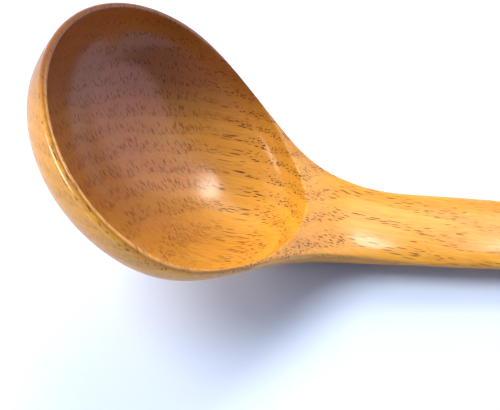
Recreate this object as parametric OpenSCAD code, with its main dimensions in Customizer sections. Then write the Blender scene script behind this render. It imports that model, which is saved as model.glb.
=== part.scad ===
// Wooden soup ladle, carved from one blank and lacquered.
// It lies as it rests on a table: the bowl's back and the tip of the handle touch z = 0,
// +X runs towards the handle's end, and Y = 0 is its plane of symmetry.
//
// The carving is worked out in the bowl's own frame: x from the widest station of the bowl
// towards the handle, y across, z out of the opening, with the rim in the plane z = 0.

/* [Bowl] */
// Inside width of the bowl at its widest station
hollow_width = 80; // [60:1:110]
// Inside length from the widest station to the tip
hollow_tip = 37.5; // [28:0.5:52]
// Inside length from the widest station to the neck
hollow_neck = 48; // [36:0.5:66]
// Depth of the hollow below the rim
hollow_depth = 23.5; // [15:0.5:25]
// Depth of the bowl's back below the rim
bowl_depth = 27; // [25.5:0.5:40]
// Width of the rim at the sides
rim_side = 2.3; // [1.8:0.1:5]
// Width of the rim at the tip
rim_tip = 2; // [1.8:0.1:5]

/* [Neck] */
// Length from the widest station to where the bowl has narrowed to the handle
neck_length = 83; // [72:1:100]
// Length from the widest station to where the top starts to climb
neck_start = 41.5; // [32:0.5:46]
// Radius of the climb, seen from the side
neck_radius = 67; // [40:1:90]

/* [Handle] */
// Angle between the handle and the rim
handle_angle = 37; // [25:1:45]
// Width of the handle at the neck
handle_width = 25.5; // [18:0.5:34]
// Width of the handle at its narrowest
grip_width = 21; // [16:0.5:34]
// Width of the handle near its end
end_width = 25; // [18:0.5:36]
// Thickness of the handle below its edge line
handle_belly = 9; // [6:0.25:12]
// Height of the handle's crowned top above its edge line
handle_crown = 3.2; // [1:0.1:5]
// Length of the straight handle, along the handle
handle_length = 185; // [140:1:260]

/* [Hanging hole] */
// Diameter of the hanging hole
hole_dia = 6; // [4:0.5:9]
// Distance from the hole's centre to the end of the handle, along the handle
hole_inset = 15; // [12:0.5:25]

/* [Lacquer] */
// Thickness of the lacquer film
film = 0.15; // [0.1:0.05:0.3]

/* [Hidden] */
wood_color = "#c8822f";
lacquer_color = "#f2d9a8";

// Exponents of the outlines: how full each curve is between its two ends.
hollow_fullness = [1.7, 0.61];
neck_fullness = [1.9, 3.6];
back_fullness = 2.6;
underside_fullness = [2.3, 1.5];
hollow_section = 2.1;
end_outline = 2.2;
end_section = 4;

// The deepest station of the bowl's back lies a little towards the neck.
deepest = 10;
// Where the underside has thinned to the handle's own thickness
underside_length = neck_length;
// Length of the rounded end, along x
end_round = 0.5 * end_width * cos(handle_angle);
// Length along x over which the sections lean back at the start of the handle
lean_length = 30;

bowl_half = hollow_width / 2 + rim_side;
tip_x = -(hollow_tip + rim_tip);
climb_end = neck_start + neck_radius * sin(handle_angle);
end_x = climb_end + handle_length * cos(handle_angle);

// Stations along x: the bowl's tip, its neck side, the neck, the handle and its rounded end
tip_stations = 12;
neck_stations = 22;
handle_stations = 8;
end_stations = 7;
ring_points = 36;

// Height of the edge line: flat over the bowl, an arc at the neck, then the straight handle
function rise(x) =
    x < neck_start ? 0
    : x < climb_end ? neck_radius - sqrt(pow(neck_radius, 2) - pow(x - neck_start, 2))
    : neck_radius * (1 - cos(handle_angle)) + (x - climb_end) * tan(handle_angle);

// Smooth step from 0 at a to 1 at b
function step(a, b, x) =
    let (s = max(0, min(1, (x - a) / (b - a))))
    s * s * (3 - 2 * s);

// The share that is left near the handle's end: 1 up to the rounding, 0 at the end
function end_share(x, fullness) =
    let (s = max(0, (x - (end_x - end_round)) / end_round))
    pow(max(0, 1 - pow(s, fullness)), 1 / fullness);

// Half width of the handle, before its end is rounded
function grip_half(x) =
    let (middle = (neck_length + end_x) / 2)
    x < middle
        ? (handle_width + (grip_width - handle_width) * step(neck_length, middle, x)) / 2
        : (grip_width + (end_width - grip_width) * step(middle, end_x - end_round, x)) / 2;

function half_width(x) =
    x < 0
        ? bowl_half * sqrt(max(0, 1 - pow(x / tip_x, 2)))
        : let (s = min(1, x / neck_length), hw = grip_half(x))
          (hw + (bowl_half - hw) * pow(1 - pow(s, neck_fullness[0]), neck_fullness[1]))
          * end_share(x, end_outline);

function underside(x) =
    x < deepest
        ? let (s = (deepest - x) / (deepest - tip_x))
          -bowl_depth * pow(max(0, 1 - pow(s, back_fullness)), 1 / back_fullness)
        : let (s = min(1, (x - deepest) / (underside_length - deepest)),
               bowl_share = pow(1 - pow(s, underside_fullness[0]), underside_fullness[1]),
               belly = handle_belly * end_share(x, end_section))
          -(belly + (bowl_depth - belly) * bowl_share) + rise(x) * (1 - bowl_share);

function crown(x) =
    handle_crown * step(hollow_neck, neck_length, x) * end_share(x, end_section);

// Stations are crowded where the outline turns fastest.
function stations() = concat(
    [for (i = [1 : tip_stations]) tip_x * cos(90 * i / tip_stations)],
    [for (i = [1 : neck_stations]) climb_end * i / neck_stations],
    [for (i = [1 : handle_stations])
        climb_end + (end_x - end_round - climb_end) * i / handle_stations],
    [for (i = [1 : end_stations - 1]) end_x - end_round * (1 - sin(90 * i / end_stations))]
);

// Sections stand upright over the bowl and lean back until they are square to the handle.
// This is where a point lies that is height above the edge line of the section at x.
function leant(x, height) =
    let (lean = step(climb_end, climb_end + lean_length, x) * height * sin(handle_angle))
    [x - lean * cos(handle_angle), rise(x) + height - lean * sin(handle_angle)];

// One cross-section, shrunk on every side by inset
function section(x, inset) =
    let (w = half_width(x) - inset,
         drop = rise(x) - underside(x) - 2 * inset,
         bulge = crown(x))
    [for (k = [0 : ring_points - 1])
        let (a = 360 * k / ring_points,
             p = leant(x, (sin(a) < 0 ? drop : bulge) * sin(a) - inset))
        [p[0], w * cos(a), p[1]]];

// Closed skin over rings of equal count, with a point at each end
module lofted(rings, first, last) {
    n = len(rings[0]);
    m = len(rings);
    points = concat([first], [for (r = rings) each r], [last]);
    start_cap = [for (k = [0 : n - 1]) [0, 1 + k, 1 + (k + 1) % n]];
    sides = [for (j = [0 : m - 2], k = [0 : n - 1])
        let (a = 1 + j * n + k,
             b = 1 + j * n + (k + 1) % n)
        each [[a, a + n, b], [b, a + n, b + n]]];
    end_cap = [for (k = [0 : n - 1])
        [1 + m * n, 1 + (m - 1) * n + (k + 1) % n, 1 + (m - 1) * n + k]];
    polyhedron(points = points, faces = concat(start_cap, sides, end_cap), convexity = 6);
}

module blank(inset) {
    squeeze = (end_x - tip_x - 2 * inset) / (end_x - tip_x);
    middle = (end_x + tip_x) / 2;
    rings = [for (x = stations()) [for (p = section(x, inset))
        [middle + (p[0] - middle) * squeeze, p[1], p[2]]]];
    lofted(rings,
        [tip_x + inset, 0, -inset],
        [end_x - inset, 0, rise(end_x) - inset]);
}

// Point of the hollow's outline at angle a, grown outwards by grow
function hollow_edge(a, grow) =
    let (half = hollow_width / 2 + grow, c = cos(a))
    c < 0
        ? [(hollow_tip + grow) * c, half * sin(a)]
        : let (u = 1 - pow(1 - c, 2),
               y = pow(max(0, 1 - pow(u, hollow_fullness[0])), hollow_fullness[1]))
          [(hollow_neck + grow) * u, sign(sin(a)) * half * y];

hollow_points = 40;
hollow_rings = 9;
// How far the cutting tool stands above the rim
cutter_rise = 12;

// The carved-out space, from above the rim down to the bottom of the bowl
module hollow(grow) {
    depth = hollow_depth + grow;
    centre = [deepest / 2, 0];
    edge = [for (k = [0 : hollow_points - 1]) hollow_edge(-360 * k / hollow_points, grow)];
    top = [for (p = edge) [p[0], p[1], cutter_rise]];
    rings = [for (j = [0 : hollow_rings - 1])
        let (r = cos(90 * j / hollow_rings),
             z = -depth * pow(1 - pow(r, hollow_section), 1 / hollow_section))
        [for (p = edge) [centre[0] + (p[0] - centre[0]) * r, p[1] * r, z]]];
    lofted(concat([top], rings), [centre[0], 0, cutter_rise], [centre[0], 0, -depth]);
}

// The hanging hole runs square through the handle.
hole_x = end_x - hole_inset * cos(handle_angle);
module hanging_hole(radius) {
    translate([hole_x, 0, rise(hole_x)])
        rotate([0, -handle_angle, 0])
            cylinder(h = 4 * handle_belly, r = radius, center = true, $fn = 48);
}

// The whole ladle in the bowl's frame, shrunk on every side by inset
module carving(inset) {
    difference() {
        blank(inset);
        hollow(inset);
        hanging_hole(hole_dia / 2 + inset);
    }
}

// Pose at rest: the pitch at which the bowl's back and the handle's end are equally low
function back_point(x) = leant(x, underside(x) - rise(x));
function low(pitch, from, to) =
    max([for (x = stations()) if (x >= from && x <= to)
        let (p = back_point(x))
        p[0] * sin(pitch) - p[1] * cos(pitch)]);
function rest_pitch(lo, hi, tries) =
    let (mid = (lo + hi) / 2)
    tries == 0 ? mid
    : low(mid, tip_x, climb_end) > low(mid, climb_end, end_x)
        ? rest_pitch(mid, hi, tries - 1)
        : rest_pitch(lo, mid, tries - 1);
pitch = rest_pitch(handle_angle - 15, handle_angle + 15, 30);
lift = low(pitch, tip_x, end_x);

// Ends of the ladle along X once it is pitched, for centring it over the origin
function level_x(p) = p[0] * cos(pitch) + p[1] * sin(pitch);
reach = [for (x = stations(), p = [back_point(x), leant(x, crown(x))]) level_x(p)];
tips = [level_x([tip_x, 0]), level_x([end_x, rise(end_x)])];
mid_x = (min(concat(reach, tips)) + max(concat(reach, tips))) / 2;

module at_rest() {
    translate([-mid_x, 0, lift])
        rotate([0, pitch, 0])
            children();
}

module ladle_wood() {
    color(wood_color)
        at_rest()
            carving(film);
}

module lacquer_coat() {
    color(lacquer_color)
        at_rest()
            difference() {
                carving(0);
                carving(film);
            }
}

ladle_wood();
lacquer_coat();
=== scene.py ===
# %% [markdown]
# # A carved wooden soup ladle
#
# This lesson models one soup ladle in Blender: a deep pear-shaped bowl, a kicked-up neck and a
# long handle, all carved from a single blank of open-grained hardwood and finished with a clear
# gloss lacquer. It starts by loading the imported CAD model, which fixes the ladle's size and place.

# %% Load the frame
import math

import bmesh
import bpy
from mathutils import Matrix, Quaternion, Vector


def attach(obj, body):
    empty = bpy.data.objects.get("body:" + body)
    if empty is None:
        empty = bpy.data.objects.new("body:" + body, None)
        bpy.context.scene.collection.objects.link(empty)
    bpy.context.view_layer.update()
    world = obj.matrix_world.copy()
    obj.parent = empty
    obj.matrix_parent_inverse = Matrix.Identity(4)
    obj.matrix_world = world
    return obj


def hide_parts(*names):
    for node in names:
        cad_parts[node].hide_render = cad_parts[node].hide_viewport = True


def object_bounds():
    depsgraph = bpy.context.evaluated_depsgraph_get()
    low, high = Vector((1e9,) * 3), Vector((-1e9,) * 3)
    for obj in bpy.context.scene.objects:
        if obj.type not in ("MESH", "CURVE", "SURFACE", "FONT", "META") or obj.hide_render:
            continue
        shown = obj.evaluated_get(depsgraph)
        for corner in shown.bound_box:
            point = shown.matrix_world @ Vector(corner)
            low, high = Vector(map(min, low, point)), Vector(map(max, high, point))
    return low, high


MM = 0.001


def size_in_mm(box):
    """Length, width and height of a box given by its two corners."""
    return [round((high - low) / MM, 1) for low, high in zip(*box)]


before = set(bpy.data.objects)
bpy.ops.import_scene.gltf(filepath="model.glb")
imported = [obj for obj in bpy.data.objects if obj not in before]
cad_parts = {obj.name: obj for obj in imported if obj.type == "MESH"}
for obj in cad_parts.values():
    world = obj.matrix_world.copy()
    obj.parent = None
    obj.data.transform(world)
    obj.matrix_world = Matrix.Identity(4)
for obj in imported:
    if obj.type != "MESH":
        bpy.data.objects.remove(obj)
cad_box = [list(corner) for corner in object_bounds()]
print("nodes in the frame:", sorted(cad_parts))
print("size in mm:", size_in_mm(cad_box))

# %% [markdown]
# ## The sizes that shape the ladle
#
# A carver works from a few sizes: how wide and long the hollow is, how thick the rim is, where
# the neck starts to climb and how thick the handle is. They are given here in millimetres in the
# bowl's own frame: x runs from the widest station of the bowl towards the handle, y across, and
# z out of the opening, with the rim in the plane z = 0. The outside is a few hundredths of a
# millimetre under the CAD model's, so that the finished mesh stays inside its box.

# %% Sizes, in millimetres
HOLLOW_HALF = 40
HOLLOW_TIP = 37.5
HOLLOW_NECK = 48
HOLLOW_DEPTH = 23.5
BOWL_HALF = 42.29
TIP_X = -39.45
BOWL_DEPTH = 27
DEEPEST = 10

NECK_LENGTH = 83
NECK_START = 41.5
NECK_RADIUS = 67
HANDLE_ANGLE = math.radians(37)
HANDLE_LENGTH = 184.93
HANDLE_HALF = 12.75
GRIP_HALF = 10.5
END_HALF = 12.5
HANDLE_BELLY = 9
HANDLE_CROWN = 3.2
LEAN_LENGTH = 30

HOLE_RADIUS = 3
HOLE_INSET = 15

HOLLOW_ROUND = 0.6
RIM_ROUND = 1.4
HOLE_ROUND = 0.85

CLIMB_END = NECK_START + NECK_RADIUS * math.sin(HANDLE_ANGLE)
END_X = CLIMB_END + HANDLE_LENGTH * math.cos(HANDLE_ANGLE)
END_ROUND = END_HALF * math.cos(HANDLE_ANGLE)
HOLE_X = END_X - HOLE_INSET * math.cos(HANDLE_ANGLE)
print("handle ends at x =", round(END_X, 1), "mm, hole at x =", round(HOLE_X, 1), "mm")

# %% [markdown]
# ## The carved surfaces as curves
#
# Seen from the side, the ladle's edge line is flat over the bowl, bends up at the neck and then
# runs straight. Seen from above, the outline is half an ellipse at the tip, and at the neck it
# draws in to the handle. Each curve is a short function of x. Two exponents say how full it is:
# a power of 2 and a root of one half give an ellipse, and a higher power makes it fuller, which
# is how a carver would describe a bowl with a generous shoulder.

# %% Curves of the blank
HOLLOW_OUTLINE = (1.7, 0.61)
NECK_OUTLINE = (1.9, 3.6)
BACK_FULLNESS = 2.6
UNDERSIDE_FULLNESS = (2.3, 1.5)
END_OUTLINE = 2
END_SECTION = 4


def smooth_step(low, high, x):
    """0 below low, 1 above high, and an S curve between them."""
    share = max(0.0, min(1.0, (x - low) / (high - low)))
    return share * share * (3 - 2 * share)


def falling(share, power, root):
    """A curve that falls from 1 at share 0 to 0 at share 1."""
    return max(0.0, 1 - share**power) ** root


def rise(x):
    """Height of the edge line above the rim plane."""
    if x < NECK_START:
        return 0.0
    if x < CLIMB_END:
        return NECK_RADIUS - math.sqrt(NECK_RADIUS**2 - (x - NECK_START) ** 2)
    climbed = NECK_RADIUS * (1 - math.cos(HANDLE_ANGLE))
    return climbed + (x - CLIMB_END) * math.tan(HANDLE_ANGLE)


def end_share(x, fullness):
    """What is left of a size near the handle's rounded end: 1 before it, 0 at its tip."""
    share = min(1.0, max(0.0, (x - (END_X - END_ROUND)) / END_ROUND))
    return falling(share, fullness, 1 / fullness)


def grip_half(x):
    """Half width of the handle, slimmest halfway along."""
    middle = (NECK_LENGTH + END_X) / 2
    if x < middle:
        return HANDLE_HALF + (GRIP_HALF - HANDLE_HALF) * smooth_step(NECK_LENGTH, middle, x)
    return GRIP_HALF + (END_HALF - GRIP_HALF) * smooth_step(middle, END_X - END_ROUND, x)


def half_width(x):
    """Half width of the whole ladle at a station."""
    if x < 0:
        return BOWL_HALF * math.sqrt(max(0.0, 1 - (x / TIP_X) ** 2))
    shoulder = falling(min(1.0, x / NECK_LENGTH), *NECK_OUTLINE)
    half = grip_half(x)
    return (half + (BOWL_HALF - half) * shoulder) * end_share(x, END_OUTLINE)


def drop(x):
    """Depth of the underside below the edge line."""
    if x < DEEPEST:
        share = min(1.0, (DEEPEST - x) / (DEEPEST - TIP_X))
        return BOWL_DEPTH * falling(share, BACK_FULLNESS, 1 / BACK_FULLNESS)
    share = min(1.0, (x - DEEPEST) / (NECK_LENGTH - DEEPEST))
    bowl_share = falling(share, *UNDERSIDE_FULLNESS)
    belly = HANDLE_BELLY * end_share(x, END_SECTION)
    return belly + (BOWL_DEPTH - belly + rise(x)) * bowl_share


def crown(x):
    """Height of the handle's rounded top above the edge line."""
    start = smooth_step(HOLLOW_NECK, NECK_LENGTH, x)
    return HANDLE_CROWN * start * end_share(x, END_SECTION)


print("widths in mm:", [round(2 * half_width(x), 1) for x in (-30, 0, 40, 83, 150, 220)])

# %% [markdown]
# ## A plan mesh that follows the work
#
# The ladle is made as two skins that meet along its outline: a top skin with the hollow in it,
# and an underside. Both use one mesh layout. It could be a plain grid, but then the hollow's
# edge would cut across the squares and turn ragged. So the layout follows the carving: rings
# run round the hollow, further rings cross the rim, and a strip of stations runs down the
# handle. It starts at the entry, a straight line across the neck where the columns of the
# rings on that side end. Each ring is extruded from the one before it, and its points are then
# moved to where the curves above say.

# %% Layout of the rings
COLUMNS = 192
NECK_COLUMNS = 25
ENTRY_X = 70


def ring_angle(column):
    """Angle of a column round the hollow, 0 at the neck."""
    return 2 * math.pi * column / COLUMNS


def strip_share(column):
    """Where a column of the handle's strip lies across it, from -1 to 1."""
    return math.sin(math.pi / 2 * column / NECK_COLUMNS)


def hollow_edge(angle):
    """Point of the hollow's outline."""
    c, s = math.cos(angle), math.sin(angle)
    if c < 0:
        return Vector((HOLLOW_TIP * c, HOLLOW_HALF * s))
    along = 1 - (1 - c) ** 2
    across = falling(along, *HOLLOW_OUTLINE)
    return Vector((HOLLOW_NECK * along, math.copysign(HOLLOW_HALF * across, s)))


def outer_edge(column):
    """Where a column ends: on the ladle's outline, or at the neck on the entry line."""
    signed = column if column <= COLUMNS / 2 else column - COLUMNS
    angle = ring_angle(signed)
    if abs(signed) <= NECK_COLUMNS:
        return Vector((ENTRY_X, half_width(ENTRY_X) * strip_share(signed)))
    if math.cos(angle) < 0:
        return Vector((-TIP_X * math.cos(angle), BOWL_HALF * math.sin(angle)))
    inner_x = hollow_edge(angle).x
    last_inner_x = hollow_edge(ring_angle(NECK_COLUMNS)).x
    share = inner_x / last_inner_x
    x = inner_x * (1 + (ENTRY_X / last_inner_x - 1) * share**2)
    return Vector((x, math.copysign(half_width(x), math.sin(angle))))


def ring_edges(mesh, ring, closed=True):
    """The edges between neighbours in a row of vertices."""
    pairs = zip(ring, ring[1:] + ring[:1] if closed else ring[1:])
    return [mesh.edges.get(pair) for pair in pairs]


def next_ring(mesh, ring, closed=True):
    """Extrudes a row of vertices by one row, and returns the new row in the same order."""
    made = bmesh.ops.extrude_edge_only(mesh, edges=ring_edges(mesh, ring, closed))["geom"]
    fresh = {v for v in made if isinstance(v, bmesh.types.BMVert)}
    return [next(e.other_vert(v) for e in v.link_edges if e.other_vert(v) in fresh) for v in ring]


print("columns:", COLUMNS, "of which", 2 * NECK_COLUMNS, "feed the handle")

# %% [markdown]
# ## The hollow and the rim
#
# The hollow is a dish whose section is a little fuller than an ellipse, so it drops steeply
# from the rim and flattens towards the bottom. Its edge is not sharp on the real ladle: sanding
# and lacquer leave a radius of about half a millimetre, and it is that radius that catches the
# light. The same goes for the outer edge of the rim. Both are quarter circles here. Heights are
# kept as height above the edge line, so the whole piece is modelled flat and bent afterwards.

# %% Heights of the skins
HOLLOW_SECTION = 2.1
HOLLOW_CENTRE = DEEPEST / 2
HOLLOW_ROWS = 26
NUDGE = 0.05
TINY = 1e-6


def round_over(distance, radius):
    """How far a quarter-round edge lies below its flat, at a distance from the edge."""
    if distance >= radius or radius <= 0:
        return 0.0
    return radius - math.sqrt(radius**2 - (radius - max(0.0, distance)) ** 2)


def section_share(x, y):
    """Height of an elliptical section at y, as a share of its height at the middle."""
    half = half_width(x)
    return math.sqrt(max(0.0, 1 - (y / half) ** 2)) if half > TINY else 0.0


def rim_round(x):
    """Radius of the rim's outer edge, which fades out where the handle's crown takes over."""
    return RIM_ROUND * (1 - smooth_step(HOLLOW_NECK, ENTRY_X, x))


def from_outline(x, y):
    """Distance in plan from a point to the outline beside it."""
    slope = (half_width(x + NUDGE) - half_width(x - NUDGE)) / (2 * NUDGE)
    return (half_width(x) - abs(y)) / math.hypot(1, slope)


def top_height(x, y, to_hollow, to_edge):
    """Height of the top skin above the edge line, outside the hollow."""
    height = crown(x) * section_share(x, y)
    height -= round_over(to_hollow, HOLLOW_ROUND)
    return height - round_over(min(to_edge, from_outline(x, y)), rim_round(x))


def under_height(x, y):
    """Height of the underside above the edge line, which is below zero."""
    return min(-drop(x) * section_share(x, y), -rim_round(x))


def hollow_point(angle, row):
    """Point on the hollow's wall: row 0 is next to the bottom, HOLLOW_ROWS is at the rim."""
    edge = hollow_edge(angle)
    start = math.asin((HOLLOW_ROUND / HOLLOW_DEPTH) ** (HOLLOW_SECTION / 2))
    turn = math.pi / 2 + (start - math.pi / 2) * (row + 0.5) / (HOLLOW_ROWS + 0.5)
    reach = math.cos(turn) ** (2 / HOLLOW_SECTION) if row < HOLLOW_ROWS else 1.0
    x = HOLLOW_CENTRE + (edge.x - HOLLOW_CENTRE) * reach
    top = rise(edge.x)
    z = top - (HOLLOW_DEPTH + top) * math.sin(turn) ** (2 / HOLLOW_SECTION)
    return Vector((x, edge.y * reach, z - rise(x)))


print("rim radius in mm:", [round(rim_round(x), 2) for x in (0, 55, 65)])

# %% [markdown]
# ## Rings, and notes for the finish
#
# A finish can read positions, but not whether a point is inside the hollow or how close it is
# to an edge. So each vertex carries three numbers that are written while its ring is made: 1
# inside the hollow, the gap to the rim's outer edge in millimetres, and 1 on the underside.

# %% Rings of the hollow and the rim
QUARTER_STEPS = 5
RIM_ROWS = 15
FAR_FROM_EDGE = 4
EDGE_SHADE_FADES = 20

plan = bmesh.new()
inside = plan.verts.layers.float.new("inside")
edge_gap = plan.verts.layers.float.new("edge_gap")
backside = plan.verts.layers.float.new("backside")


def note(vertex, in_hollow=0, gap=FAR_FROM_EDGE, on_back=0):
    """Writes a vertex's three numbers for the finish."""
    vertex[inside], vertex[edge_gap], vertex[backside] = in_hollow, gap, on_back


disc = bmesh.ops.create_circle(plan, segments=COLUMNS, radius=1, cap_ends=True, cap_tris=True)
hub = next(v for v in disc["verts"] if len(v.link_edges) == COLUMNS)
ring = [v for v in disc["verts"] if v is not hub]
ring.sort(key=lambda v: math.atan2(v.co.y, v.co.x))
start = min(range(COLUMNS), key=lambda i: abs(math.atan2(ring[i].co.y, ring[i].co.x)))
ring = ring[start:] + ring[:start]
hub.co = (HOLLOW_CENTRE, 0, -HOLLOW_DEPTH)
note(hub, in_hollow=1)

for row in range(HOLLOW_ROWS + 1):
    if row:
        ring = next_ring(plan, ring)
    for column, vertex in enumerate(ring):
        vertex.co = hollow_point(ring_angle(column), row)
        note(vertex, in_hollow=1)

quarter = [1 - math.cos(math.pi / 2 * i / QUARTER_STEPS) for i in range(1, QUARTER_STEPS + 1)]
for row in range(QUARTER_STEPS + RIM_ROWS):
    ring = next_ring(plan, ring)
    for column, vertex in enumerate(ring):
        inner, outer = hollow_edge(ring_angle(column)), outer_edge(column)
        width = (outer - inner).length
        if row < QUARTER_STEPS:
            out = HOLLOW_ROUND * quarter[row]
        else:
            share = math.sin(math.pi / 2 * (row - QUARTER_STEPS + 1) / RIM_ROWS)
            out = HOLLOW_ROUND + (width - HOLLOW_ROUND) * share
        x, y = inner + (outer - inner) * out / width
        vertex.co = (x, y, top_height(x, y, out, width - out))
        # The painted shade line along the rim's outer edge fades out towards the neck.
        fading = FAR_FROM_EDGE * smooth_step(EDGE_SHADE_FADES, HOLLOW_NECK, x)
        note(vertex, gap=from_outline(x, y) + fading)
print("bowl and rim:", len(plan.verts), "vertices")

# %% [markdown]
# ## The handle and its rounded end
#
# The handle is the same top skin carried on: the vertices on the entry line are extruded
# station by station. A rounded end could close in a point, but fifty columns meeting in one
# point pinch the surface and show in a gloss finish. Instead the last stations bend round, the
# way a square sheet is fitted to a disc, so that the squares stay open to the end. Near the
# hanging hole the stations are closer, and a square patch of them is warped into circles.

# %% Stations of the handle
HANDLE_STATIONS = 62
HOLE_HALF_STATIONS = 5
HOLE_PATCH = HOLE_RADIUS + HOLE_ROUND
PLAIN_AGAIN = 2.4 * HOLE_PATCH
LEAN_SHARE = math.cos(HANDLE_ANGLE)

patch_step = HOLE_PATCH * LEAN_SHARE / HOLE_HALF_STATIONS
hole_steps = range(-HOLE_HALF_STATIONS, HOLE_HALF_STATIONS + 1)
hole_stations = [HOLE_X + patch_step * i for i in hole_steps]
entry_gap = (hole_stations[0] - ENTRY_X) / HANDLE_STATIONS
stations = [ENTRY_X + entry_gap * i for i in range(1, HANDLE_STATIONS)] + hole_stations
last_station = hole_stations[-1] + patch_step
spread = [strip_share(column) for column in range(-NECK_COLUMNS, NECK_COLUMNS + 1)]


def hole_warp(x, y):
    """Turns the squares round the hanging hole into circles, fading out further away."""
    along = (x - HOLE_X) / LEAN_SHARE
    square, reach = max(abs(along), abs(y)), math.hypot(along, y)
    if reach < TINY:
        return x, y
    keep = smooth_step(HOLE_PATCH, PLAIN_AGAIN, square)
    scale = keep + (1 - keep) * square / reach
    return HOLE_X + along * scale * LEAN_SHARE, y * scale


print("straight stations:", len(stations), "every", round(entry_gap, 2), "mm along x")

# %% Rows of the rounded end
END_STATIONS = 16
CORNER_TURN = math.radians(42)
WIDEST_TURN = math.acos((last_station - END_X + END_ROUND) / END_ROUND)


def end_arc(turn):
    """Point of the rounded end's outline, turned this far from the tip."""
    start = END_X - END_ROUND
    return Vector((start + END_ROUND * math.cos(turn), END_HALF * math.sin(turn)))


def end_row(share):
    """One bent row of the end: the last straight row at share 0, the end's outline at 1."""
    side_turn = WIDEST_TURN + (CORNER_TURN - WIDEST_TURN) * share
    points = []
    for v in spread:
        sweep = 2 / math.pi * math.asin(v)
        straight = Vector((last_station, half_width(last_station) * v))
        row = straight.lerp(end_arc(CORNER_TURN * sweep), share)
        if sweep:
            hand = math.copysign(1, sweep)
            chord = end_arc(hand * WIDEST_TURN).lerp(end_arc(hand * CORNER_TURN), share)
            row += (end_arc(hand * side_turn) - chord) * abs(v)
        points.append(row)
    return points


print("the end turns", round(math.degrees(WIDEST_TURN)), "degrees to each side")

# %% Extrude the handle
strip = [ring[i] for i in range(-NECK_COLUMNS, NECK_COLUMNS + 1)]
rows = [[(x, half_width(x) * v) for v in spread] for x in stations]
rows += [end_row(math.sin(math.pi / 2 * i / END_STATIONS)) for i in range(END_STATIONS + 1)]
for number, row in enumerate(rows):
    strip = next_ring(plan, strip, closed=False)
    for vertex, (x, y) in zip(strip, row):
        if number < len(rows) - 1 and vertex not in (strip[0], strip[-1]):
            x, y = hole_warp(x, y)
        vertex.co = (x, y, crown(x) * section_share(x, y))
        note(vertex)
print("with the handle:", len(plan.verts), "vertices")

# %% [markdown]
# ## The hanging hole
#
# Long-handled kitchen tools hang from a hole drilled near the end. It could be cut with a
# Boolean, but that leaves slivers that show in a gloss finish. Here the patch of squares that it
# takes is removed from the skin, which leaves a round opening because the stations beside it
# were warped into circles.

# %% Open the hole in the top skin
def from_hole(point):
    """Distance of a point of the flat model from the hole's axis."""
    return math.hypot((point.x - HOLE_X) / LEAN_SHARE, point.y)


patch = [f for f in plan.faces if from_hole(f.calc_center_median()) < HOLE_PATCH]
bmesh.ops.delete(plan, geom=patch, context="FACES")
print("faces taken out for the hole:", len(patch))

# %% [markdown]
# ## The underside
#
# The underside is a copy of the top skin's layout, turned over, with each point lowered to the
# back of the bowl or the belly of the handle. The two skins share their outline, so merging the
# points that coincide there closes the piece.

# %% Copy, turn over and join
LOOP_TOLERANCE = 0.05
MERGE_DISTANCE = 1e-4


def hole_loop(vertices):
    """The round opening's vertices, which lie at the patch's radius from the hole's axis."""
    edge = [v for v in vertices if v.is_boundary]
    return [v for v in edge if abs(from_hole(v.co) - HOLE_PATCH) < LOOP_TOLERANCE]


copied = bmesh.ops.duplicate(plan, geom=plan.verts[:] + plan.edges[:] + plan.faces[:])["geom"]
under = [g for g in copied if isinstance(g, bmesh.types.BMVert)]
bmesh.ops.reverse_faces(plan, faces=[g for g in copied if isinstance(g, bmesh.types.BMFace)])
for vertex in under:
    vertex.co.z = under_height(vertex.co.x, vertex.co.y)
    note(vertex, on_back=1)
round_openings = set(hole_loop(plan.verts))
rim_points = [v for v in plan.verts if v.is_boundary and v not in round_openings]
for vertex in rim_points:
    vertex.co.z = -rim_round(vertex.co.x)
bmesh.ops.remove_doubles(plan, verts=rim_points, dist=MERGE_DISTANCE)
print("closed outline, boundary vertices left:", sum(v.is_boundary for v in plan.verts))

# %% [markdown]
# ## The hole's walls
#
# A drilled hole that is sanded and lacquered has a rounded edge on both sides. From each opening
# a few rings are extruded down a quarter circle, and the two last rings are bridged.

# %% Walls of the hanging hole
def hole_wall(loop, side):
    """Rounds the hole's edge over on one side, and returns the edges where the wall ends."""
    loop = sorted(loop, key=lambda v: math.atan2(v.co.y, v.co.x - HOLE_X))
    for i in range(1, QUARTER_STEPS + 1):
        turn = math.pi / 2 * i / QUARTER_STEPS
        last_turn = turn - math.pi / 2 / QUARTER_STEPS
        radius = HOLE_PATCH - HOLE_ROUND * math.sin(turn)
        last_radius = HOLE_PATCH - HOLE_ROUND * math.sin(last_turn)
        sink = math.cos(last_turn) - math.cos(turn)
        loop = next_ring(plan, loop)
        for v in loop:
            v.co.x = HOLE_X + (v.co.x - HOLE_X) * radius / last_radius
            v.co.y *= radius / last_radius
            v.co.z -= side * sink * HOLE_ROUND / LEAN_SHARE
    return ring_edges(plan, loop)


openings = hole_loop(plan.verts)
upper = hole_wall([v for v in openings if v.co.z > 0], 1)
lower = hole_wall([v for v in openings if v.co.z < 0], -1)
bmesh.ops.bridge_loops(plan, edges=upper + lower)
print("boundary vertices left:", sum(v.is_boundary for v in plan.verts))

# %% [markdown]
# ## Bend it, and lay it down
#
# So far the ladle is flat. Each point is now lifted by the edge line's height at its station,
# and along the handle the sections lean back until they stand square to it. Then the whole
# piece is pitched forward to lie as it does on a table, on the bowl's back and the handle's
# end. Its place is taken from the CAD model's box, so nothing is fitted by eye. An extrusion
# numbers what it makes in an order that changes from run to run, so everything is numbered anew
# by its place.

# %% Bend and place
PITCH = math.radians(37.88)


def bent(point):
    """A point of the flat model, in the bowl's frame."""
    x, y, height = point
    lean = smooth_step(CLIMB_END, CLIMB_END + LEAN_LENGTH, x) * height * math.sin(HANDLE_ANGLE)
    z = rise(x) + height - lean * math.sin(HANDLE_ANGLE)
    return Vector((x - lean * math.cos(HANDLE_ANGLE), y, z))


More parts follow.
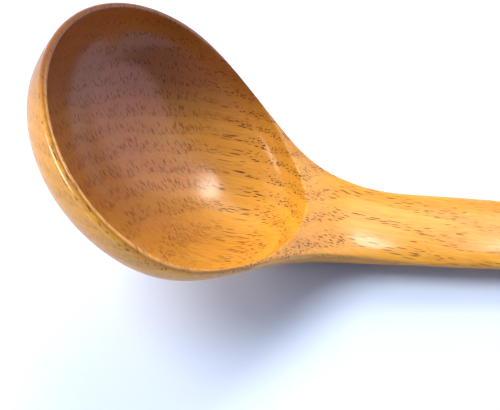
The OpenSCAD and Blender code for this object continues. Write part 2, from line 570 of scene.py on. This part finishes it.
def number_by_place(elements, place_of):
    """Gives a mesh's vertices, edges or faces the same order on every run."""
    ordered = sorted(elements, key=lambda element: tuple(place_of(element)))
    ranks = {element: rank for rank, element in enumerate(ordered)}
    elements.sort(key=ranks.get)


def add_object(name, data):
    """Puts a new object in the scene, at the origin."""
    made = bpy.data.objects.new(name, data)
    bpy.context.scene.collection.objects.link(made)
    return made


for vertex in plan.verts:
    vertex.co = bent(vertex.co)
lay_down = Matrix.Rotation(PITCH, 4, "Y") @ Matrix.Scale(MM, 4)
bmesh.ops.transform(plan, matrix=lay_down, verts=plan.verts)
low_x, high_x = (f(v.co.x for v in plan.verts) for f in (min, max))
low_z = min(v.co.z for v in plan.verts)
middle_x = (cad_box[0][0] + cad_box[1][0]) / 2
shift = Vector((middle_x - (low_x + high_x) / 2, 0, cad_box[0][2] - low_z))
bmesh.ops.translate(plan, vec=shift, verts=plan.verts)
bmesh.ops.recalc_face_normals(plan, faces=plan.faces)
for face in plan.faces:
    face.smooth = True
number_by_place(plan.verts, lambda vertex: vertex.co)
number_by_place(plan.edges, lambda edge: edge.verts[0].co + edge.verts[1].co)
number_by_place(plan.faces, lambda face: face.calc_center_median())

ladle_mesh = bpy.data.meshes.new("carved_ladle")
plan.to_mesh(ladle_mesh)
plan.free()
ladle = add_object("carved_ladle", ladle_mesh)
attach(ladle, "root")
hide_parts("ladle_wood", "lacquer_coat")
print("ladle:", len(ladle_mesh.polygons), "faces")

# %% [markdown]
# ## Writing shaders as arithmetic
#
# A wood finish is mostly arithmetic on positions. Wiring Math nodes one by one hides that, so
# a small class wraps a node's output and lets Python's own operators add the nodes. Any other
# kind of node comes from its one method, which sets the node's settings first and then its
# sockets.

# %% A wrapped socket
COLOUR_MIX = {"factor": 0, "first": 6, "second": 7, "result": 2}


class Wire:
    """An output socket that can be added, subtracted, multiplied and divided like a number."""

    def __init__(self, tree, socket=None):
        self.tree = tree
        self.socket = socket

    def node(self, kind, settings=None, sockets=None, out=0):
        """Adds a node of a kind, with its settings and its sockets' values or links."""
        made = self.tree.nodes.new(kind)
        for name, value in (settings or {}).items():
            setattr(made, name, value)
        for name, value in (sockets or {}).items():
            if isinstance(value, Wire):
                self.tree.links.new(value.socket, made.inputs[name])
            else:
                made.inputs[name].default_value = value
        return Wire(self.tree, made.outputs[out] if made.outputs else None)

    def math(self, operation, *values):
        """A Math node on numbers and wires."""
        return self.node("ShaderNodeMath", {"operation": operation}, dict(enumerate(values)))

    def __add__(self, other):
        return self.math("ADD", self, other)

    def __sub__(self, other):
        return self.math("SUBTRACT", self, other)

    def __rsub__(self, other):
        return self.math("SUBTRACT", other, self)

    def __mul__(self, other):
        return self.math("MULTIPLY", self, other)

    def __truediv__(self, other):
        return self.math("DIVIDE", self, other)

    def __rtruediv__(self, other):
        return self.math("DIVIDE", other, self)

    __radd__ = __add__
    __rmul__ = __mul__

    def part(self, number):
        """One of a vector's three parts: 0, 1 or 2."""
        return self.node("ShaderNodeSeparateXYZ", None, {0: self}, out=number)

    def vector_math(self, operation, other, out="Vector"):
        """A Vector Math node on this vector and another one."""
        settings = {"operation": operation}
        return self.node("ShaderNodeVectorMath", settings, {0: self, 1: other}, out)

    def dot(self, direction):
        """How far a vector reaches along a direction."""
        return self.vector_math("DOT_PRODUCT", direction, "Value")

    def scaled(self, factors):
        """A vector with its three parts scaled."""
        return self.vector_math("MULTIPLY", factors)

    def shifted(self, offsets):
        """A vector moved by another."""
        return self.vector_math("ADD", offsets)

    def smooth(self, low, high, start=0.0, end=1.0):
        """start below low, end above high, and an S curve between them."""
        sockets = {"From Min": low, "From Max": high, "To Min": start, "To Max": end, 0: self}
        settings = {"interpolation_type": "SMOOTHSTEP"}
        return self.node("ShaderNodeMapRange", settings, sockets)

    def between(self, rises, falls):
        """A hump: up to 1 over the first range of values, and down to 0 over the second."""
        return self.smooth(*rises) * self.smooth(*falls, 1.0, 0.0)

    def mixed(self, mask, first, second):
        """The first colour where the mask is 0, the second one where it is 1."""
        ends = {COLOUR_MIX["first"]: first, COLOUR_MIX["second"]: second}
        sockets = {**ends, COLOUR_MIX["factor"]: mask}
        return self.node("ShaderNodeMix", {"data_type": "RGBA"}, sockets, COLOUR_MIX["result"])

    def tint(self, mask, colour):
        """This colour turned towards another one where the mask is 1."""
        return self.mixed(mask, self, colour)

    def attribute(self, name):
        """One of the numbers that the vertices carry."""
        return self.node("ShaderNodeAttribute", {"attribute_name": name}, out="Fac")


def new_finish(name):
    """A new material with nothing in it yet, and a wire to add its nodes with."""
    material = bpy.data.materials.new(name)
    material.use_nodes = True
    material.node_tree.nodes.clear()
    return material, Wire(material.node_tree)


print("shader arithmetic ready")

# %% [markdown]
# ## The wood
#
# The blank is open-grained, ring-porous hardwood: each year's growth starts with a row of large
# vessels, and the carving cuts through them, so every growth ring shows as a band of short dark
# dashes. Painting dashes on the surface would look printed. A real blank is solid, so the wood
# is described as a solid here too: one direction runs along the grain, one across the rings and
# one along them, and the shape of the carving decides what shows.

# %% Directions in the blank
across_rings = Vector((0.15, 0.51, 0.85)).normalized()
along_grain = Vector((0.99, -0.045, -0.13))
along_grain = (along_grain - across_rings * along_grain.dot(across_rings)).normalized()
along_rings = across_rings.cross(along_grain)

lacquered_wood, wood = new_finish("lacquered_wood")
place = wood.node("ShaderNodeTexCoord", out="Object")


def measured_along(axes):
    """Place in millimetres along three directions that are square to each other."""
    sockets = {"Vector": place, "Rotation": Matrix(axes).to_euler(), "Scale": (1 / MM,) * 3}
    return wood.node("ShaderNodeMapping", None, sockets)


def lumps(sizes, offset=None, detail=1.0, roughness=0.5):
    """Noise from 0 to 1 with lumps of three sizes: along the grain, along and across rings."""
    cells = blank.scaled(tuple(1 / size for size in sizes))
    cells = cells.shifted(offset) if offset else cells
    sockets = {"Vector": cells, "Scale": 1.0, "Detail": detail, "Roughness": roughness}
    return wood.node("ShaderNodeTexNoise", None, sockets)


blank = measured_along((along_grain, along_rings, across_rings))
print("grain runs along", [round(c, 2) for c in along_grain])

# %% [markdown]
# ### Growth rings
#
# Rings in a board are nearly flat sheets, but never exactly: they swell and dip as the tree
# grew. Slow noise bends them, and it is stretched along the grain, because a ring changes
# slowly up the trunk. The fraction of a ring that is left over after dividing by its width
# says how far into the year's growth a point lies: 0 where it starts, 1 where the next begins.

# %% Rings
RING_WIDTH = 4.3
RING_START = 2.0
SWELL_HEIGHT = 3.4
RIPPLE_HEIGHT = 2.2
EARLY_GROWTH = ((0.0, 0.08), (0.4, 0.7))
DARK_GROWTH = ((0.0, 0.1), (0.2, 0.9))

depth = blank.part(2)
swell = lumps((40, 14, 14))
ripple = lumps((12, 4.5, 4.5), (7, 3, 1))
bent_depth = depth + (swell - 0.5) * SWELL_HEIGHT + (ripple - 0.5) * RIPPLE_HEIGHT
years = (bent_depth - RING_START) / RING_WIDTH
year = years.math("FRACT", years)
early = year.between(*EARLY_GROWTH)
band = year.between(*DARK_GROWTH)
print("one ring is", RING_WIDTH, "mm")

# %% [markdown]
# ### Vessels
#
# Each vessel is a slim tube along the grain. Cells of a Voronoi pattern that is stretched
# along the grain and squeezed across it give one vessel to a cell, with its own place and
# length. Short ones crowd the start of each ring, and a few long slender ones are scattered
# through the rest of it. The grain wanders a little sideways, so the rows are never straight.

# %% Vessels along the grain
CROWDED_SIZES = (7.0, 0.5, 0.54)
SLENDER_SIZES = (18.0, 0.7, 0.8)
WANDER = 1.6
KNOT_FROM, KNOT_TO = 92.0, 112.0
THINNER_AT_KNOT = 0.8
OPEN_FROM, OPEN_TO, OPEN_AT_HANDLE = 15.0, 60.0, 0.55


def vessels(where, sizes, reach, offset):
    """Mask of the vessels in one stretched cell pattern, with soft edges."""
    cells = where.scaled(tuple(1 / size for size in sizes)).shifted(offset)
    distance = wood.node("ShaderNodeTexVoronoi", None, {"Vector": cells, "Scale": 1.0})
    return distance.smooth(reach * 0.7, reach * 1.15, 1.0, 0.0)


wander = lumps((14, 5, 5))
sideways = wood.node("ShaderNodeCombineXYZ", None, {0: 0.0, 1: (wander - 0.5) * WANDER, 2: 0.0})
wandered = blank.shifted(sideways)
towards_tip = place.dot((-1 / MM, 0, 0))
at_knot = towards_tip.smooth(KNOT_FROM, KNOT_TO)

crowded = vessels(wandered, CROWDED_SIZES, 0.33, (0.5, 0.2, 0.7)) * early
crowded = crowded * (1.0 - at_knot * THINNER_AT_KNOT)
crowded = crowded * towards_tip.smooth(OPEN_FROM, OPEN_TO, OPEN_AT_HANDLE, 1.0)
patchy = lumps((18, 7, 7), (3, 5, 9)).smooth(0.45, 0.6, 0.2)
slender = vessels(wandered, SLENDER_SIZES, 0.2, (0.3, 0.1, 0.6)) * patchy * (1.0 - at_knot)
print("cells along the grain:", CROWDED_SIZES[0], "and", SLENDER_SIZES[0], "mm")

# %% [markdown]
# ### Leaning vessels
#
# Near the bowl's tip the grain swirls, as it does beside a knot, and the vessels there are short
# and lean to one side. They get their own pattern, turned to that grain, which takes over from
# the straight one in the last part of the bowl. The ladle's back was sanded finer, so all the
# vessels are fainter on it.

# %% Vessels at the knot
LEANING_SIZES = (2.9, 0.56, 0.95)
FAINTER_ON_BACK = 0.55

knot_grain = Vector((0.54, -0.7, -0.5)).normalized()
knot_side = knot_grain.cross(Vector((0.57, -0.17, 0.81))).normalized()
knot_blank = measured_along((knot_grain, knot_side, knot_grain.cross(knot_side)))
leaning = vessels(knot_blank, LEANING_SIZES, 0.36, (0, 0, 0)) * at_knot
leaning = leaning * year.smooth(0.0, 0.1, 0.35, 1.0) * year.smooth(0.5, 0.85, 1.0, 0.15)

pores = crowded.math("MAXIMUM", crowded, slender * 0.9)
pores = pores.math("MAXIMUM", pores, leaning * 0.7)
on_the_back = wood.attribute("backside")
pores = pores * (1.0 - on_the_back * FAINTER_ON_BACK)
print("grain at the knot runs along", [round(c, 2) for c in knot_grain])

# %% [markdown]
# ### Colour
#
# The wood is a warm orange brown. Early growth is redder and darker than late growth, and fine
# fibre streaks run through all of it. The far, high side of the ladle as it lies is painted darker:
# a little of that is a darker heart side of the blank, most of it is painted shade on the hollow's
# upper wall. The hollow is painted darker and more amber towards the tip, as painted shade where its
# tip wall turns away from the light, and a thin dark line of painted shade runs along the rim's
# outer edge. The back is painted a little darker too, as painted shade on the underside. The vessels
# are filled with shadow and a little dark lacquer.

# %% Colour of the wood
ORANGE_BROWN = (0.8, 0.335, 0.024, 1)
RED_BROWN = (0.66, 0.25, 0.022, 1)
FIBRE_GOLD = (0.8, 0.42, 0.07, 1)
SHADE_AND_HEART_BROWN = (0.2, 0.062, 0.018, 1)
EARLY_BROWN = (0.36, 0.115, 0.03, 1)
HOLLOW_SHADE_AMBER = (0.36, 0.1, 0.015, 1)
EDGE_SHADE_BROWN = (0.2, 0.06, 0.016, 1)
BACK_SHADE_TAN = (0.42, 0.2, 0.04, 1)
VESSEL_DARK = (0.085, 0.019, 0.003, 1)

# The side and the range over which the far, high side is painted darker: painted shade with a little
# heartwood.
SHADED_TOP_SIDE = (0, 0.75, 0.66)
SHADED_TOP_FROM, SHADED_TOP_TO = 31.0, 50.0
# Painted shade in the hollow grows between these distances towards the tip.
HOLLOW_SHADE_FROM, HOLLOW_SHADE_TO = 85.0, 140.0
# Painted shade line along the rim's outer edge: where it rises and falls, in millimetres from the
# edge.
EDGE_SHADE_LINE = ((0.3, 0.8), (0.9, 1.5))

fibre = lumps((30, 0.7, 0.7), detail=3.0, roughness=0.6)
cloud = lumps((60, 14, 14), (2, 8, 4), detail=2.0)
shaded_top_and_heart = place.dot(tuple(c / MM for c in SHADED_TOP_SIDE)) + (bent_depth - depth) * 1.5
tip_shade = towards_tip.smooth(HOLLOW_SHADE_FROM, HOLLOW_SHADE_TO, 0.1, 0.75)
edge_shade = wood.attribute("edge_gap").between(*EDGE_SHADE_LINE)

toned = wood.mixed(cloud.smooth(0.3, 0.7), ORANGE_BROWN, RED_BROWN)
toned = toned.tint(fibre.smooth(0.42, 0.62) * 0.4, FIBRE_GOLD)
# Painted shade, with a little darker heartwood: the far, high side of the ladle as it lies is
# darkened.
toned = toned.tint(shaded_top_and_heart.smooth(SHADED_TOP_FROM, SHADED_TOP_TO) * 0.9, SHADE_AND_HEART_BROWN)
toned = toned.tint(band * 0.16, EARLY_BROWN)
# Painted shade: the inside of the hollow is darkened and turned amber towards its tip wall.
toned = toned.tint(wood.attribute("inside") * tip_shade, HOLLOW_SHADE_AMBER)
# Painted shade: a thin dark line along the rim's outer edge.
toned = toned.tint(edge_shade * 0.5, EDGE_SHADE_BROWN)
# Painted shade: the ladle's back is darkened.
toned = toned.tint(on_the_back * 0.3, BACK_SHADE_TAN)
toned = toned.tint(pores * 0.9, VESSEL_DARK)
print("the rim's dark line is from", EDGE_SHADE_LINE[0][0], "to", EDGE_SHADE_LINE[1][1], "mm from its edge")

# %% [markdown]
# ### Lacquer
#
# The clear coat is one smooth film over duller wood. It could be a second shell, but a shader's
# own coat layer gives the same gloss without a thin gap between two surfaces. The wood sinks a
# little at each vessel, so the vessels feed a bump under the coat. The film breaks up over an
# open vessel, and the finely sanded back is duller, so the coat weighs less in both places.

# %% Finish
VESSEL_DEPTH = 0.12 * MM
DULLER_ON_BACK = 0.7
DULLER_ON_VESSEL = 0.7

bump = {"Strength": 0.35, "Distance": VESSEL_DEPTH, "Height": fibre * 0.02 - pores}
coat = (1.0 - on_the_back * DULLER_ON_BACK) * (1.0 - pores * DULLER_ON_VESSEL)
shader = wood.node(
    "ShaderNodeBsdfPrincipled",
    None,
    {
        "Base Color": toned,
        "Roughness": 0.42,
        "IOR": 1.5,
        "Specular IOR Level": 0.1,
        "Coat Weight": coat,
        "Coat Roughness": 0.18,
        "Coat IOR": 1.36,
        "Normal": wood.node("ShaderNodeBump", None, bump),
    },
)
wood.node("ShaderNodeOutputMaterial", None, {"Surface": shader})
ladle.data.materials.append(lacquered_wood)
print("nodes in the finish:", len(lacquered_wood.node_tree.nodes))

# %% [markdown]
# ## Camera
#
# The camera looks down on the bowl from in front, close enough for a little perspective. A
# camera could be aimed with angles, but its eye, the way it looks and the way that is up for it
# are easier to picture, and three directions square to each other turn it exactly.

# %% Camera
EYE = Vector((-0.0933, -0.14506, 0.21893))
LOOK = Vector((0.017, 0.5846, -0.8111))
UP = Vector((-0.0505, 0.8107, 0.5832))

camera_data = bpy.data.cameras.new("camera")
camera_data.sensor_width = 36
camera_data.lens = 59.9
camera_data.clip_start = 0.01
camera = add_object("camera", camera_data)
bpy.context.scene.camera = camera
right = LOOK.cross(UP).normalized()
up = right.cross(LOOK).normalized()
facing = Matrix((right, up, -LOOK)).transposed().to_4x4()
camera.matrix_world = Matrix.Translation(EYE) @ facing
print("the eye is", round(EYE.z * 100), "cm above the floor")

# %% [markdown]
# ## Floor
#
# The floor is one large pale square, wide enough that its edge is never seen.

# %% Floor
FLOOR_HALF = 30
PALE = (0.64, 0.715, 0.85, 1)

floor_build = bmesh.new()
bmesh.ops.create_grid(floor_build, x_segments=1, y_segments=1, size=FLOOR_HALF)
floor_mesh = bpy.data.meshes.new("floor")
floor_build.to_mesh(floor_mesh)
floor_build.free()
floor = add_object("floor", floor_mesh)
pale_floor, paint = new_finish("pale_floor")
matt = paint.node("ShaderNodeBsdfPrincipled", None, {"Base Color": PALE, "Roughness": 0.6})
paint.node("ShaderNodeOutputMaterial", None, {"Surface": matt})
floor.data.materials.append(pale_floor)
print("floor:", 2 * FLOOR_HALF, "m wide")

# %% [markdown]
# ## Light
#
# Two kinds of light do two jobs. The wood and the floor are lit by two low windows and by two
# wide lights from high up, which fall alike on everything near and far. The lacquer would
# mirror all of them and turn milky, so it doesn't see them. It has its own small lamps: one for
# the highlight in the hollow, one for the handle, one for the rim at the tip, and a large faint
# pinkish one that veils the hollow's wall. The sky is a little blue, so the shadow is cool.

# %% Helpers for the lights
def towards(azimuth, elevation):
    """Direction at a compass angle and a height above the floor, in degrees."""
    turn, lift = math.radians(azimuth), math.radians(elevation)
    level = Vector((math.cos(turn), math.sin(turn), 0))
    return level * math.cos(lift) + Vector((0, 0, math.sin(lift)))


def light_at(name, target, where, distance, size, watts, colour, gloss=False, roll=0):
    """An oval light that faces a point, seen by the lacquer only or by the wood only."""
    data = bpy.data.lights.new(name, "AREA")
    data.shape = "ELLIPSE"
    data.size, data.size_y = size
    data.energy = watts
    data.color = colour
    light = add_object(name, data)
    light.location = target + towards(*where) * distance
    aimed = (target - light.location).to_track_quat("-Z", "Y")
    light.rotation_euler = (aimed @ Quaternion((0, 0, 1), math.radians(roll))).to_euler()
    light.visible_glossy = gloss
    light.visible_diffuse = not gloss
    light.visible_camera = False


def wide_light(name, where, spread, strength, colour):
    """Light from a whole patch of the room, which falls alike on everything."""
    data = bpy.data.lights.new(name, "SUN")
    data.angle = math.radians(spread)
    data.energy = strength
    data.color = colour
    light = add_object(name, data)
    light.rotation_euler = (-towards(*where)).to_track_quat("-Z", "Y").to_euler()
    light.visible_glossy = False


print("straight up is", [round(c, 2) for c in towards(0, 90)])

# %% Lights and sky
BOWL_MIDDLE = Vector((-0.1, 0.007, 0.017))
HANDLE_START = Vector((-0.017, 0, 0.012))
TIP_WALL = Vector((-0.13, -0.02, 0.06))
DAYLIGHT = (1, 0.98, 0.95)
LAMPLIGHT = (1, 0.96, 0.88)
WARM_LAMPLIGHT = (1, 0.95, 0.84)
PINKISH = (0.92, 0.62, 0.78)
SKY_BLUE = (0.45, 0.64, 1, 1)
SKY_STRENGTH = 0.48

light_at("window", BOWL_MIDDLE, (95, 18), 1.2, (0.62, 0.62), 6.5, DAYLIGHT)
light_at("window_left", BOWL_MIDDLE, (165, 20), 1.2, (0.66, 0.66), 8.0, DAYLIGHT)
wide_light("high_window", (82, 44), 30, 1.95, (1, 0.97, 0.93))
wide_light("ceiling", (176, 60), 34, 2.85, (0.97, 0.98, 1))
light_at("lamp", BOWL_MIDDLE, (31, 52), 0.55, (0.19, 0.06), 0.75, LAMPLIGHT, gloss=True, roll=124)
light_at("glow", HANDLE_START, (58, 50), 0.6, (0.26, 0.26), 0.6, WARM_LAMPLIGHT, gloss=True)
light_at("rim_lamp", TIP_WALL, (-155, 29), 0.7, (0.5, 0.35), 9.0, DAYLIGHT, gloss=True)
light_at("veil", BOWL_MIDDLE, (12, 24), 0.7, (0.8, 0.62), 2.8, PINKISH, gloss=True)

sky = bpy.data.worlds.new("sky")
sky.use_nodes = True
backdrop = sky.node_tree.nodes["Background"]
backdrop.inputs["Color"].default_value = SKY_BLUE
backdrop.inputs["Strength"].default_value = SKY_STRENGTH
bpy.context.scene.world = sky
bpy.context.scene.view_settings.view_transform = "Standard"
print("lights:", len(bpy.data.lights))
